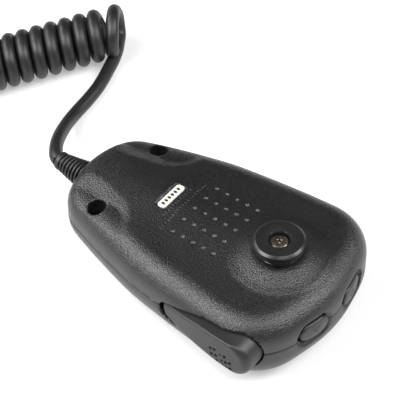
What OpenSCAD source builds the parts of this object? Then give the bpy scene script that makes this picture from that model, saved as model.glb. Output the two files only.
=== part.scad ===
// Hand microphone of a two-way radio: two moulded covers, a talk lever on one side,
// two step keys on the end, a hang-up button on the back, a curly cord and a round plug.
// The origin is on the flat front that the microphone lies on. +X points to the step keys,
// the cord leaves at -X, the talk lever is on -Y, and the back faces +Z.

/* [Covers] */
// Length of the covers, from cord end to key end
body_len = 97.5; // [94:0.5:118]
// Width across the shoulders at the key end
body_w = 63.4; // [60:0.2:76]
// Width across the corners at the cord end
nose_w = 41; // [36:0.2:46]
// Width half way along
waist_w = 55.8; // [52:0.2:58]
// Height of the back above the front at mid length
back_h = 26; // [25.5:0.1:31]
// Rise of the back towards the key end, in degrees
back_slope = 1.3; // [0:0.1:3]
// How much the back is crowned across its width
crown = 1.2; // [0.4:0.1:2]
// Radius of the blend between the back and the sides
top_blend = 8; // [7:0.5:9.5]
// Radius of the blend between the front and the sides
base_blend = 12; // [10:0.5:12]
// Height of the joint between the covers at mid length
parting_z = 13.8; // [13.5:0.1:14.4]
// Rise of that joint towards the key end, in degrees
parting_slope = 1.8; // [0.5:0.1:2]
// Wall of both covers
wall = 2.2; // [1.8:0.1:2.6]
// Height of the locating lip on the front cover
lip_h = 1.4; // [1:0.1:2]
// Thickness of the locating lip
lip_t = 0.9; // [0.7:0.1:1.2]

/* [Cover screws] */
// Distance of the screws from the cord end
screw_inset = 17; // [15:0.5:19]
// Distance of each screw from the middle plane
screw_side = 15.5; // [14.5:0.1:16]
// Diameter of the deep pocket over each screw
pocket_d = 5.8; // [5.4:0.1:6.4]
// Diameter of the tower that the pocket runs down
tower_d = 9.2; // [8.6:0.1:9.6]
// Diameter of the scalloped recess around each pocket
scallop_d = 16; // [13:0.5:18]
// Depth of the scalloped recess
scallop_depth = 1.5; // [1.3:0.1:2]
// Thread diameter of the cover screws
screw_d = 2.9; // [2.5:0.1:3]
// Outer diameter of the brass inserts
insert_d = 4.6; // [4.2:0.1:5]

/* [Hang-up button] */
// Distance of the button from the key end
button_inset = 21.8; // [20:0.2:26]
// Diameter of the button
button_d = 16; // [14:0.1:19]
// Thickness of the button
button_t = 3; // [2.4:0.1:4]
// Height of the top of the button over the back
button_rise = 7; // [6.4:0.1:8]
// Diameter of the neck under the button
neck_d = 9.2; // [8:0.1:10]
// Diameter of the washer under the neck
washer_d = 13; // [11:0.1:14]
// Height of the raised seat under the washer
seat_h = 1.7; // [1:0.1:2]

/* [Talk lever] */
// Distance of the lever's free end from the key end
lever_inset = 8.45; // [8:0.05:10]
// Length of the lever outside the covers
lever_len = 36; // [33:0.5:37]
// Height of the lever at its pivot end
lever_low_h = 6.2; // [5:0.1:7]
// Height of the lever near its free end
lever_high_h = 12.9; // [11:0.1:13.5]
// Height of the lever's middle line near its free end
lever_z = 15.25; // [14.5:0.05:16]
// How far the lever stands out beyond the widest part of the covers
lever_proud = 2.6; // [2:0.1:5]
// Radius of the lever's outer face in plan
lever_face_r = 100; // [80:5:140]
// Gap between the lever and its window
lever_gap = 0.5; // [0.4:0.05:0.8]
// Diameter of the hinge pin
pin_d = 2; // [1.5:0.1:2.2]

/* [Step keys] */
// Length of each key
key_len = 10.8; // [9:0.1:11.4]
// Height of each key
key_h = 6.4; // [5:0.1:6.8]
// Distance of each key from the middle plane
key_side = 9.6; // [9:0.1:10]
// Height of the keys' centres
key_z = 15.7; // [15.2:0.1:16.2]
// Gap around each key
key_gap = 0.35; // [0.2:0.05:0.5]
// Margin of the scooped pocket around each key
key_margin = 1.8; // [1:0.1:2]
// Depth of the scooped pocket
key_scoop = 1.1; // [0.6:0.1:1.4]

/* [Sound path] */
// Distance of the capsule from the key end
capsule_inset = 36.75; // [34:0.25:40]
// Diameter of the microphone capsule
capsule_d = 9.7; // [6:0.1:10]
// Height of the microphone capsule
capsule_h = 6.5; // [3:0.1:6.7]

/* [Cord and plug] */
// Diameter of the cord
cord_d = 4.6; // [4:0.1:5]
// Outer diameter of the curly part
coil_d = 18.6; // [15:0.1:20]
// Length of the ribbed strain relief outside the covers
boot_len = 12.3; // [11:0.1:12.4]
// Outer diameter of the plug's coupling ring
ring_d = 19; // [18:0.1:20]

/* [Hidden] */

$fn = 48;
touch = 0.01;
far = 300;
nose_x = -body_len / 2;
cap_x = body_len / 2;

// Plan outline: rounded pucks whose hull is the moulded form.
small_r = 13;
corner_r = 15;
corner_x = nose_x + 17;
side_r = 20;
shoulder_r = 18.5;
shoulder_x = cap_x - 20.8;
cap_r = 45;
nose_r = 30;
fine_fn = 32;
blend_step = 15;

screw_x = nose_x + screw_inset;
ledge_z = back_z(screw_x) - scallop_depth;
seat_z = parting_at(screw_x) + 2.4;
insert_z = parting_at(screw_x) - 5.3;
button_x = cap_x - button_inset;
capsule_x = cap_x - capsule_inset;
label_x = nose_x + 34.3;
gland_z = parting_at(nose_x);

lever_x1 = cap_x - lever_inset;
lever_x0 = lever_x1 - lever_len;
lever_axis_x = lever_x1 - 4.3;
lever_axis_y = -body_w / 2 - lever_proud + lever_face_r;
lever_in_y = -24;
lever_low_z = 13.6;
lever_wall = 1.8;
pivot_x = lever_x0 - 1.8;
pivot_y = -24.2;
barrel_r = 2.4;
barrel_z0 = 10.9;
barrel_z1 = 14.4;
pin_z0 = 6.5;
pin_z1 = 20;
rib_x = lever_x0 + 9.7;
rib_w = 2;
plunger_z = 12.6;
plunger_tip_y = -20.3;
plunger_r = 1.4;
switch_size = [7, 4.6, 4];

board_t = 1.6;
board_z = plunger_z + switch_size[2] / 2;
board_y = 18.6;
board_x0 = nose_x + 28;
board_x1 = cap_x - 16;
board_top = board_z + board_t;
post_r = 2.6;
posts = [[board_x0 + 6, 14.5], [board_x0 + 6, -14.5], [board_x1 - 4, 14.5]];
m2_r = 1;

key_flange_x = cap_x - 5.6;
key_flange_t = 1;
key_post_x = key_flange_x - key_flange_t - 2.3;
key_switch_x = key_post_x - 0.4;
key_switch_t = 3.4;
key_board_x = key_switch_x - key_switch_t;
key_stem_r = 1.75;

clamp_x = nose_x + 9.8;
clamp_w = 5;
clamp_side = 6.2;
boot_r = 4.9;
boot_tip_r = 3.1;
boot_hole_r = boot_r - 0.5;
boot_flange_x = wall + lip_t + 0.9;
boot_flange_t = 1.3;

// The curly part's middle line, flat on the table, and the straight parts of the cord.
coil_z = coil_d / 2;
coil_route = [[-87.5, 64], [-97.5, 46.5], [-107.5, 29], [-117, 12], [-127, -5.5], [-136, -21.5],
    [-148, -34], [-165, -38.5], [-182, -34.5], [-194.5, -22], [-199.5, -5], [-195, 12], [-191, 19]];
lead_route = [[-61, 0, 12.3], [-62.8, 0.8, 12.2], [-64.7, 2.7, 11.7], [-66.8, 5.2, 10.8],
    [-69.2, 8.6, 9.4], [-71.6, 12.6, 7.6], [-73.8, 16.8, 5.8], [-75.6, 20.8, 4.3],
    [-77, 24.8, 3.1], [-77.9, 28.8, 2.5], [-78.6, 34, 2.3], [-79.6, 40.4, 2.3], [-81, 45.8, 2.4],
    [-82.6, 50.2, 3.3], [-83.4, 52, 4.2]];
tail_route = [[-191, 19, 2.3], [-186, 28, 2.3], [-181, 37, 2.3], [-175, 43.5, 2.4],
    [-166.5, 46.8, 3], [-157.5, 45, 4.2], [-151, 39, 5.8], [-148.3, 30.5, 7.6], [-150, 22.6, 9],
    [-153, 17, 9.5]];
plug_at = [-153, 17];
plug_turn = 240;
plug_z = ring_d / 2;
shell_r = 7.4;
ring_bore_r = 7.5;
ring_thread_r = 8.1;

black = [0.09, 0.09, 0.095];
satin = [0.2, 0.2, 0.21];
rubber = [0.06, 0.06, 0.06];
brass = [0.72, 0.58, 0.3];
steel = [0.62, 0.62, 0.63];
board_green = [0.1, 0.32, 0.18];

function back_z(x) = back_h + x * tan(back_slope);
function parting_at(x) = parting_z + x * tan(parting_slope);

module puck(r, h, inset) {
    side = r - inset;
    top = top_blend - inset;
    base = base_blend - inset;
    rotate_extrude($fn = fine_fn) polygon(concat(
        [[0, inset]],
        [for (a = [-90:blend_step:0]) [side - base + base * cos(a), inset + base + base * sin(a)]],
        [for (a = [0:blend_step:90]) [side - top + top * cos(a), h - inset - top + top * sin(a)]],
        [[0, h - inset]]));
}

// A puck at a place, as high as the back is there, lowered by drop.
module puck_at(x, y, r, drop, inset) {
    translate([x, y, 0]) puck(r, back_z(x) - drop, inset);
}

// The closed outer form of both covers, moved inwards by inset.
module body_form(inset) {
    hull() {
        for (s = [-1, 1]) {
            puck_at(corner_x, s * (nose_w / 2 - corner_r), corner_r, crown, inset);
            puck_at(-6, s * (waist_w / 2 - side_r), side_r, crown, inset);
            puck_at(shoulder_x, s * (body_w / 2 - shoulder_r), shoulder_r, crown, inset);
        }
        for (a = [-12:6:12]) {
            reach = cap_r - small_r;
            puck_at(cap_x - cap_r + reach * cos(a), reach * sin(a), small_r, crown, inset);
        }
        for (a = [-24:12:24]) {
            reach = nose_r - small_r;
            puck_at(nose_x + nose_r - reach * cos(a), reach * sin(a), small_r, crown, inset);
        }
        puck_at(nose_x + 18, 0, small_r, 0, inset);
        puck_at(cap_x - 20, 0, small_r, 0, inset);
    }
}

// The space between two heights over the sloping joint between the covers.
module layer(z0, z1) {
    rotate([0, -parting_slope, 0]) translate([-far, -far, parting_z + z0]) {
        cube([2 * far, 2 * far, z1 - z0]);
    }
}

// Places its children on the back, level with its slope.
module on_back(x) {
    translate([x, 0, back_z(x)]) rotate([0, -back_slope, 0]) children();
}

module tube(r_out, r_in, h) {
    difference() {
        cylinder(r = r_out, h = h);
        translate([0, 0, -touch]) cylinder(r = r_in, h = h + 2 * touch);
    }
}

module at_screws() {
    for (s = [-1, 1]) translate([screw_x, s * screw_side, 0]) children();
}

module at_keys() {
    for (s = [-1, 1]) translate([0, s * key_side, key_z]) children();
}

// Obround prism along X, from x0 to x1, as long as len along Y.
module obround(len, h, x0, x1) {
    translate([x0, 0, 0]) rotate([90, 0, 90]) linear_extrude(x1 - x0) {
        for (s = [-1, 1]) translate([s * (len - h) / 2, 0]) circle(d = h);
        square([len - h, h], center = true);
    }
}

// Side view of the talk lever, grown by extra.
module lever_side(extra) {
    high_r = 6;
    step = lever_high_h / 2 - high_r;
    hull() {
        translate([lever_x0 + lever_low_h / 2, lever_low_z]) circle(d = lever_low_h + 2 * extra);
        for (s = [-1, 1]) {
            translate([lever_x1 - high_r, lever_z + s * step]) circle(r = high_r + extra);
        }
        translate([lever_x0 + lever_len / 2, lever_z]) circle(r = high_r - 0.5 + extra);
    }
}

// The lever's side view as a block between two depths.
module lever_block(extra, y0, y1) {
    translate([0, y1, 0]) rotate([90, 0, 0]) linear_extrude(y1 - y0) lever_side(extra);
}

// Everything of the key pockets: the through holes and the scooped rims.
module key_pockets() {
    at_keys() obround(key_len + 2 * key_gap, key_h + 2 * key_gap, key_flange_x - 4, cap_x + 5);
    difference() {
        at_keys() obround(key_len + 2 * key_margin, key_h + 2 * key_margin, 0, cap_x + 5);
        translate([cap_x - cap_r, 0, -far]) cylinder(r = cap_r - key_scoop, h = 2 * far, $fn = 96);
    }
}

module gland_hole() {
    translate([nose_x - 5, 0, gland_z]) rotate([0, 90, 0]) cylinder(r = boot_hole_r, h = 12);
}

module scallops(r, z, h) {
    for (s = [-1, 1]) translate([screw_x - 1, s * (screw_side + 3.8), z]) cylinder(r = r, h = h);
}

module back_cover() {
    color(black) difference() {
        intersection() {
            union() {
                body_form(0);
                on_back(button_x) cylinder(r1 = 13.5, r2 = washer_d / 2 + 1.6, h = seat_h);
            }
            layer(0, 60);
            union() {
                difference() {
                    layer(-1, 60);
                    body_form(wall);
                }
                at_screws() cylinder(d = tower_d, h = back_h);
                scallops(scallop_d / 2 + wall, ledge_z - wall, wall + scallop_depth);
                on_back(button_x) translate([0, 0, -8.5]) cylinder(r = 5, h = 9);
                translate([pivot_x, pivot_y, barrel_z1 + 3.3]) cylinder(r = barrel_r, h = 12);
            }
        }
        scallops(scallop_d / 2, ledge_z, 20);
        at_screws() {
            translate([0, 0, seat_z]) cylinder(d = pocket_d, h = 30);
            cylinder(d = screw_d + 0.3, h = back_h);
        }
        on_back(button_x) translate([0, 0, -12]) cylinder(d = screw_d + 0.3, h = 20);
        on_back(button_x) translate([0, 0, -9]) cylinder(d = insert_d, h = 5.5);
        on_back(label_x) translate([-1.7, -5.8, -0.7]) cube([3.4, 11.6, 5]);
        translate([pivot_x, pivot_y, 0]) cylinder(d = pin_d, h = pin_z1);
        lever_block(lever_gap, -60, lever_in_y + 1);
        key_pockets();
        gland_hole();
    }
}

// The locating lip that stands on the front cover's rim, inside the back cover, and its root.
// It stops short of the screw towers, the keys' flanges and the lever with its pivot.
module lip() {
    lip_in = wall + 0.12;
    difference() {
        union() {
            intersection() {
                body_form(lip_in);
                layer(-1, lip_h);
            }
            intersection() {
                body_form(wall - 0.2);
                layer(-1.5, 0);
            }
        }
        body_form(lip_in + lip_t);
        at_screws() cylinder(d = tower_d + 0.4, h = back_h);
        at_keys() obround(key_len + 3.4, key_h + 3, key_flange_x - 4, cap_x);
        translate([pivot_x - barrel_r - 0.6, -far, 0]) cube([2 * barrel_r + 3.6, far - 20, back_h]);
        lever_block(lever_gap, -60, lever_in_y + 4);
    }
}

module front_cover() {
    color(black) difference() {
        union() {
            lip();
            intersection() {
                body_form(0);
                layer(-40, 0);
                union() {
                    difference() {
                        layer(-40, 1);
                        body_form(wall);
                    }
                    at_screws() cylinder(d = tower_d - 1.4, h = back_h);
                    for (p = posts) translate([p[0], p[1], 0]) cylinder(r = post_r, h = board_z);
                    translate([capsule_x, 0, 0]) cylinder(r = capsule_d / 2 + 2.8, h = wall + 7);
                    translate([pivot_x, pivot_y, 0]) cylinder(r = barrel_r, h = barrel_z0 - 0.3);
                    translate([clamp_x - clamp_w / 2, -9.5, 0]) cube([clamp_w, 19, gland_z - 0.6]);
                    for (s = [-1, 1]) translate([key_board_x - 1.6 - board_t, s * 17 - 2, 0]) {
                        cube([3.2 + board_t, 4, 12]);
                    }
                }
            }
        }
        at_screws() {
            translate([0, 0, insert_z]) cylinder(d = insert_d, h = back_h);
            translate([0, 0, 3]) cylinder(d = screw_d + 0.1, h = 10);
        }
        for (p = posts) translate([p[0], p[1], board_z - 7]) cylinder(r = m2_r, h = 8);
        translate([capsule_x, 0, wall]) cylinder(r = capsule_d / 2 + 1.7, h = 10);
        for (i = [-3:3]) translate([capsule_x + 2 * i - 0.5, -6 + abs(i) * 0.8, -1]) {
            cube([1, 12 - abs(i) * 1.6, wall + 2]);
        }
        translate([pivot_x, pivot_y, pin_z0]) cylinder(d = pin_d, h = 10);
        translate([clamp_x, 0, gland_z]) rotate([0, 90, 0]) {
            cylinder(d = cord_d, h = clamp_w + 2, center = true);
        }
        for (s = [-1, 1]) translate([clamp_x, s * clamp_side, 5]) cylinder(r = m2_r, h = 10);
        translate([key_board_x - board_t, -17, 5]) cube([board_t, 34, 10]);
        lever_block(lever_gap, -60, lever_in_y + 1);
        key_pockets();
        gland_hole();
    }
}

// A screw with its head's underside at the origin and its shank down to -len.
module screw(shank_r, len, head_r, head_h) {
    difference() {
        union() {
            translate([0, 0, -len]) cylinder(r = shank_r, h = len + touch);
            cylinder(r = head_r, h = head_h);
        }
        for (a = [0, 90]) rotate([0, 0, a]) translate([-head_r * 0.6, -0.3, head_h - 0.7]) {
            cube([head_r * 1.2, 0.6, 1]);
        }
    }
}

module case_screws() {
    color(steel) at_screws() translate([0, 0, seat_z]) screw(screw_d / 2, 8.6, pocket_d / 2 - 0.3, 2.1);
}

module case_inserts() {
    color(brass) at_screws() translate([0, 0, insert_z]) tube(insert_d / 2, screw_d / 2 + 0.05, 5);
}

module hangup_disc() {
    chamfer = 0.5;
    r = button_d / 2;
    head_r = 3.4;
    bore_r = screw_d / 2 + 0.15;
    color(black) on_back(button_x) translate([0, 0, button_rise - button_t]) {
        rotate_extrude() polygon([[bore_r, 0], [r - chamfer, 0], [r, chamfer],
            [r, button_t - chamfer], [r - chamfer, button_t], [head_r, button_t],
            [head_r, button_t - 2.6], [bore_r, button_t - 2.6]]);
    }
}

module hangup_neck() {
    base = seat_h + 0.5;
    color(black) on_back(button_x) translate([0, 0, base]) {
        tube(neck_d / 2, screw_d / 2 + 0.15, button_rise - button_t - base);
    }
}

module hangup_washer() {
    color(satin) on_back(button_x) translate([0, 0, seat_h]) {
        tube(washer_d / 2, screw_d / 2 + 0.15, 0.5);
    }
}

module hangup_screw() {
    color(brass) on_back(button_x) translate([0, 0, button_rise - 2.6]) {
        screw(screw_d / 2, 11, 2.7, 1.7);
    }
}

module hangup_insert() {
    color(brass) on_back(button_x) translate([0, 0, -8.5]) tube(insert_d / 2, screw_d / 2 + 0.05, 5);
}

module label_plate() {
    color([0.85, 0.83, 0.76]) on_back(label_x) translate([0, 0, -0.7]) linear_extrude(0.8) {
        for (s = [-1, 1]) translate([0, s * 4.9]) square([2 * 1.6, 1.6], center = true);
        square([3.2, 9.8], center = true);
    }
}

module ptt_lever() {
    plan_depth = lever_axis_y - lever_face_r;
    color(satin) difference() {
        union() {
            difference() {
                intersection() {
                    lever_block(0, -60, lever_in_y);
                    translate([lever_axis_x, lever_axis_y, 0]) cylinder(r = lever_face_r, h = 40, $fn = 96);
                }
                lever_block(-lever_wall, plan_depth + lever_wall + 3.2, lever_in_y + 1);
            }
            translate([rib_x - rib_w / 2, -31, plunger_z - 1.6]) {
                cube([rib_w, plunger_tip_y - 0.1 + 31, 3.2]);
            }
            translate([pivot_x, pivot_y, barrel_z0]) cylinder(r = barrel_r, h = barrel_z1 - barrel_z0);
            translate([pivot_x, pivot_y - barrel_r + 0.1, barrel_z0]) {
                cube([lever_x0 - pivot_x + 5, 2.2, barrel_z1 - barrel_z0]);
            }
        }
        translate([pivot_x, pivot_y, 0]) cylinder(d = pin_d + 0.1, h = 30);
    }
}

module ptt_pivot_pin() {
    color(steel) translate([pivot_x, pivot_y, pin_z0]) cylinder(d = pin_d, h = pin_z1 - pin_z0);
}

// Torsion spring around the pin, above the lever's hinge barrel.
module ptt_return_spring() {
    wire_r = 0.3;
    color(steel) translate([pivot_x, pivot_y, barrel_z1 + 0.45]) {
        for (i = [0:3]) translate([0, 0, wire_r + 2 * i * wire_r]) {
            rotate_extrude() translate([pin_d / 2 + 0.5, 0]) circle(r = wire_r + touch, $fn = 16);
        }
        translate([0, pin_d / 2 + 0.5, wire_r]) rotate([0, 90, 0]) cylinder(r = wire_r, h = 6);
        translate([-5, pin_d / 2 + 0.5, 7 * wire_r]) rotate([0, 90, 0]) cylinder(r = wire_r, h = 5);
    }
}

module ptt_switch() {
    color(black) difference() {
        translate([rib_x - switch_size[0] / 2, plunger_tip_y + 2.6, board_z - switch_size[2]]) {
            cube(switch_size);
        }
        translate([rib_x, plunger_tip_y + 1, plunger_z]) rotate([-90, 0, 0]) {
            cylinder(r = plunger_r + 0.08, h = 5);
        }
    }
}

module ptt_plunger() {
    color([0.8, 0.8, 0.78]) translate([rib_x, plunger_tip_y, plunger_z]) rotate([-90, 0, 0]) {
        cylinder(r = plunger_r, h = 4.4);
    }
}

// One step key: the cap follows the curved end of the covers, and a flange keeps it in.
module step_key(s) {
    color(satin) translate([0, s * key_side, key_z]) {
        intersection() {
            obround(key_len, key_h, key_flange_x - touch, cap_x + 5);
            translate([cap_x - cap_r, -s * key_side, -20]) cylinder(r = cap_r + 0.3, h = 40, $fn = 96);
        }
        obround(key_len + 2.4, key_h + 2, key_flange_x - key_flange_t, key_flange_x);
        translate([key_post_x, 0, 0]) rotate([0, 90, 0]) {
            cylinder(r = 1.5, h = key_flange_x - key_flange_t - key_post_x + touch);
        }
    }
}

module up_button() { step_key(1); }
module down_button() { step_key(-1); }

module key_switch(s) {
    color(black) difference() {
        translate([key_switch_x - key_switch_t, s * key_side - 3, key_z - 3]) {
            cube([key_switch_t, 6, 6]);
        }
        translate([key_switch_x - 2, s * key_side, key_z]) rotate([0, 90, 0]) {
            cylinder(r = key_stem_r + 0.08, h = 5);
        }
    }
}

module up_switch() { key_switch(1); }
module down_switch() { key_switch(-1); }

module switch_stem(s) {
    color([0.8, 0.8, 0.78]) translate([key_post_x - 1.6, s * key_side, key_z]) rotate([0, 90, 0]) {
        cylinder(r = key_stem_r, h = 1.6);
    }
}

module up_switch_stem() { switch_stem(1); }
module down_switch_stem() { switch_stem(-1); }

module key_board() {
    color(board_green) translate([key_board_x - board_t, -16.9, 5.1]) cube([board_t, 33.8, 15.4]);
}

module main_board() {
    color(board_green) difference() {
        translate([board_x0, -board_y, board_z]) cube([board_x1 - board_x0, 2 * board_y, board_t]);
        for (p = posts) translate([p[0], p[1], board_z - 1]) cylinder(r = m2_r + 0.1, h = 5);
    }
}

module board_screws() {
    color(steel) for (p = posts) translate([p[0], p[1], board_top]) screw(m2_r, 7, 1.9, 1.2);
}

module chip(x, y, size) {
    translate([x - size[0] / 2, y - size[1] / 2, board_top]) cube(size);
}

module audio_chips() {
    color(black) {
        chip(board_x0 + 18, 6, [10, 6, 1.7]);
        chip(board_x0 + 30, -9, [7, 7, 1.2]);
        chip(board_x0 + 44, 6, [5, 4, 1.2]);
    }
}

module board_capacitors() {
    color([0.15, 0.2, 0.4]) for (p = [[14, -9], [21, -9], [29, 11]]) {
        translate([board_x0 + p[0], p[1], board_top]) cylinder(r = 2.5, h = 4.4);
    }
}

module wire_header() {
    color([0.9, 0.89, 0.84]) translate([board_x0 + 1, -7, board_top]) difference() {
        cube([5, 14, 4.6]);
        translate([-1, 1, 1]) cube([4.8, 12, 2.6]);
    }
}

module mic_capsule() {
    color([0.75, 0.75, 0.76]) translate([capsule_x, 0, wall + 0.4]) cylinder(d = capsule_d, h = capsule_h);
}

module capsule_boot() {
    color(rubber) translate([capsule_x, 0, wall + 0.4]) tube(capsule_d / 2 + 1.7, capsule_d / 2, 6.2);
}

module acoustic_cloth() {
    color([0.2, 0.2, 0.2]) translate([capsule_x, 0, wall]) cylinder(r = capsule_d / 2 + 1.6, h = 0.4);
}

// Strain relief: a flange trapped between the covers, then a ribbed tapering boot.
module strain_relief() {
    ribs = 6;
    pitch = (boot_len - 2.5) / ribs;
    color(rubber) translate([nose_x, 0, gland_z]) rotate([0, -90, 0]) {
        translate([0, 0, -boot_flange_x - boot_flange_t]) {
            cylinder(r = boot_hole_r + 1.2, h = boot_flange_t);
            cylinder(r = boot_hole_r - 0.1, h = boot_flange_x + boot_flange_t + 0.4);
        }
        cylinder(r1 = boot_r - 1, r2 = boot_tip_r - 0.4, h = boot_len - 0.2);
        for (i = [0:ribs - 1]) translate([0, 0, 0.2 + i * pitch]) {
            cylinder(r = boot_r - (boot_r - boot_tip_r) * i / ribs, h = pitch * 0.55);
        }
        translate([0, 0, boot_len - 2.6]) cylinder(r = boot_tip_r, h = 2.6);
    }
}

module cord_stub() {
    stub_x = nose_x + boot_flange_x + boot_flange_t;
    color(rubber) translate([stub_x, 0, gland_z]) rotate([0, 90, 0]) {
        cylinder(d = cord_d, h = clamp_x + clamp_w / 2 + 1.7 - stub_x);
    }
}

module cord_clamp() {
    color(steel) difference() {
        translate([clamp_x - clamp_w / 2, -9, gland_z + 0.3]) cube([clamp_w, 18, 3.2]);
        translate([clamp_x, 0, gland_z]) rotate([0, 90, 0]) {
            cylinder(d = cord_d, h = clamp_w + 2, center = true);
        }
        for (s = [-1, 1]) translate([clamp_x, s * clamp_side, 5]) cylinder(r = m2_r + 0.1, h = 20);
    }
}

module clamp_screws() {
    color(steel) for (s = [-1, 1]) translate([clamp_x, s * clamp_side, gland_z + 3.5]) {
        screw(m2_r, 9, 1.9, 1.2);
    }
}

// Sweeps a tube along points: each ring stands square to the route where it is.
function unit(v) = v / norm(v);
function heading(p, i) = unit(p[min(i + 1, len(p) - 1)] - p[max(i - 1, 0)]);
function across(h) = unit(cross([0, 0, 1], h));
module sweep(p, r, sides) {
    n = len(p);
    points = [for (i = [0:n - 1]) let (h = heading(p, i), u = across(h), v = cross(h, u))
        for (k = [0:sides - 1]) p[i] + r * (cos(360 * k / sides) * u + sin(360 * k / sides) * v)];
    walls = [for (i = [0:n - 2], k = [0:sides - 1]) let (m = (k + 1) % sides)
        [i * sides + k, i * sides + m, (i + 1) * sides + m, (i + 1) * sides + k]];
    ends = [[for (k = [sides - 1:-1:0]) k], [for (k = [0:sides - 1]) (n - 1) * sides + k]];
    polyhedron(points = points, faces = [for (f = concat(walls, ends)) [for (k = [len(f) - 1:-1:0]) f[k]]]);
}

// Catmull-Rom points through a route, with steps between neighbours.
function at(p, i) = p[max(0, min(len(p) - 1, i))];
function curve_point(a, b, c, d, t) = 0.5 * (2 * b + (c - a) * t + (2 * a - 5 * b + 4 * c - d) * t * t
    + (3 * b - a - 3 * c + d) * t * t * t);
function smooth(p, steps) = concat([for (i = [0:len(p) - 2], k = [0:steps - 1])
    curve_point(at(p, i - 1), p[i], p[i + 1], at(p, i + 2), k / steps)], [p[len(p) - 1]]);

module inner_wires() {
    x0 = nose_x + 14;
    x1 = board_x0 + 1;
    color([0.7, 0.2, 0.15]) for (i = [-2:2]) {
        sweep(smooth([[x0, i * 0.95, gland_z], [x0 + 4, i * 1.2, gland_z + 0.6],
            [(x0 + x1) / 2, i * 2, gland_z + 3.5], [x1 - 4, i * 2.2, board_top + 2],
            [x1 + 1, i * 2.2, board_top + 2.3]], 2), 0.45, 8);
    }
}

module cord_lead() {
    color(rubber) sweep(lead_route, cord_d / 2, 10);
}

module cord_coil() {
    color(rubber) sweep(smooth([for (q = coil_route) [q[0], q[1], coil_z]], 2), coil_d / 2, 12);
}

module cord_tail() {
    color(rubber) sweep(smooth(tail_route, 2), cord_d / 2, 10);
}

// Places its children on the plug's own axis, which becomes their +Z, front end up.
module on_plug(x) {
    translate([plug_at[0], plug_at[1], plug_z]) rotate([0, 0, plug_turn]) rotate([0, 90, 0]) {
        translate([0, 0, x]) children();
    }
}

module plug_boot() {
    color(rubber) on_plug(0) cylinder(r1 = 3.2, r2 = 5, h = 9);
}

module plug_shell() {
    color(steel) on_plug(9) rotate_extrude() polygon([[0, 0], [6.6, 0], [7.1, 0.5], [7.1, 12.4],
        [shell_r, 12.8], [shell_r, 25], [6.5, 25], [6.5, 16], [0, 16]]);
}

module coupling_ring() {
    ridges = 24;
    color(steel) on_plug(22.4) difference() {
        cylinder(d = ring_d, h = 13.6);
        translate([0, 0, -touch]) cylinder(r = ring_bore_r, h = 13.6 + 2 * touch);
        translate([0, 0, 8]) cylinder(r = ring_thread_r, h = 6);
        for (i = [0:ridges - 1]) rotate([0, 0, i * 360 / ridges]) {
            translate([ring_d / 2 + 0.25, 0, 2]) cylinder(r = 0.6, h = 8, $fn = 16);
        }
    }
}

module plug_insert() {
    color([0.25, 0.18, 0.12]) on_plug(25) difference() {
        cylinder(r = 6.5, h = 7);
        at_pins() translate([0, 0, -1]) cylinder(r = 0.8, h = 9, $fn = 24);
    }
}

module at_pins() {
    children();
    for (i = [0:6]) rotate([0, 0, i * 360 / 7]) translate([4.2, 0, 0]) children();
}

module plug_pins() {
    color(brass) on_plug(25) at_pins() cylinder(r = 0.8, h = 7.6, $fn = 24);
}

module plug_clamp() {
    color(steel) on_plug(10) difference() {
        translate([-9.4, -4, 0]) cube([3.4, 8, 7]);
        translate([0, 0, -1]) cylinder(r = 7.15, h = 20);
        for (s = [-1, 1]) translate([-20, s * 2.2, 3.5]) rotate([0, 90, 0]) cylinder(r = 0.85, h = 20);
    }
}

module plug_clamp_screws() {
    color(steel) on_plug(10) for (s = [-1, 1]) {
        translate([-9.4, s * 2.2, 3.5]) rotate([0, -90, 0]) screw(0.8, 2.1, 1.5, 0.9);
    }
}

back_cover();
front_cover();
case_screws();
case_inserts();
hangup_disc();
hangup_neck();
hangup_washer();
hangup_screw();
hangup_insert();
label_plate();
ptt_lever();
ptt_pivot_pin();
ptt_return_spring();
ptt_switch();
ptt_plunger();
up_button();
down_button();
up_switch();
down_switch();
up_switch_stem();
down_switch_stem();
key_board();
main_board();
board_screws();
audio_chips();
board_capacitors();
wire_header();
mic_capsule();
capsule_boot();
acoustic_cloth();
strain_relief();
cord_stub();
cord_clamp();
clamp_screws();
inner_wires();
cord_lead();
cord_coil();
cord_tail();
plug_boot();
plug_shell();
coupling_ring();
plug_insert();
plug_pins();
plug_clamp();
plug_clamp_screws();
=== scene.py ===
import bpy
import bmesh
import math
from functools import reduce
import numpy as np
from mathutils import Matrix, Vector


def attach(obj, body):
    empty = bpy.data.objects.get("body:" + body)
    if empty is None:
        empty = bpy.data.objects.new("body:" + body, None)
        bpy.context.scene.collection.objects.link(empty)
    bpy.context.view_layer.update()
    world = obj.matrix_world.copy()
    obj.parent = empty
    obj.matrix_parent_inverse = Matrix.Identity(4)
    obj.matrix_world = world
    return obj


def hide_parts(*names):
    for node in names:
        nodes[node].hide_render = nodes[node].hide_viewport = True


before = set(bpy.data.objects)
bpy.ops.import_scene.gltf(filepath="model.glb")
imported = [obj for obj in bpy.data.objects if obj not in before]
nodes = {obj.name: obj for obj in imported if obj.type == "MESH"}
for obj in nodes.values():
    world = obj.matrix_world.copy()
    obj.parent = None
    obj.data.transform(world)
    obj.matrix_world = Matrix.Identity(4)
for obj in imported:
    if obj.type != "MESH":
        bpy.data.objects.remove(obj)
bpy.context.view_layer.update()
mm = 0.001


# ---- camera ----

viewFrom = {"aim": (-16.7, 21.7, 0.0), "turn": 37.44, "rise": 47.1, "away": 637.9, "lens": 169.3}


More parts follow.
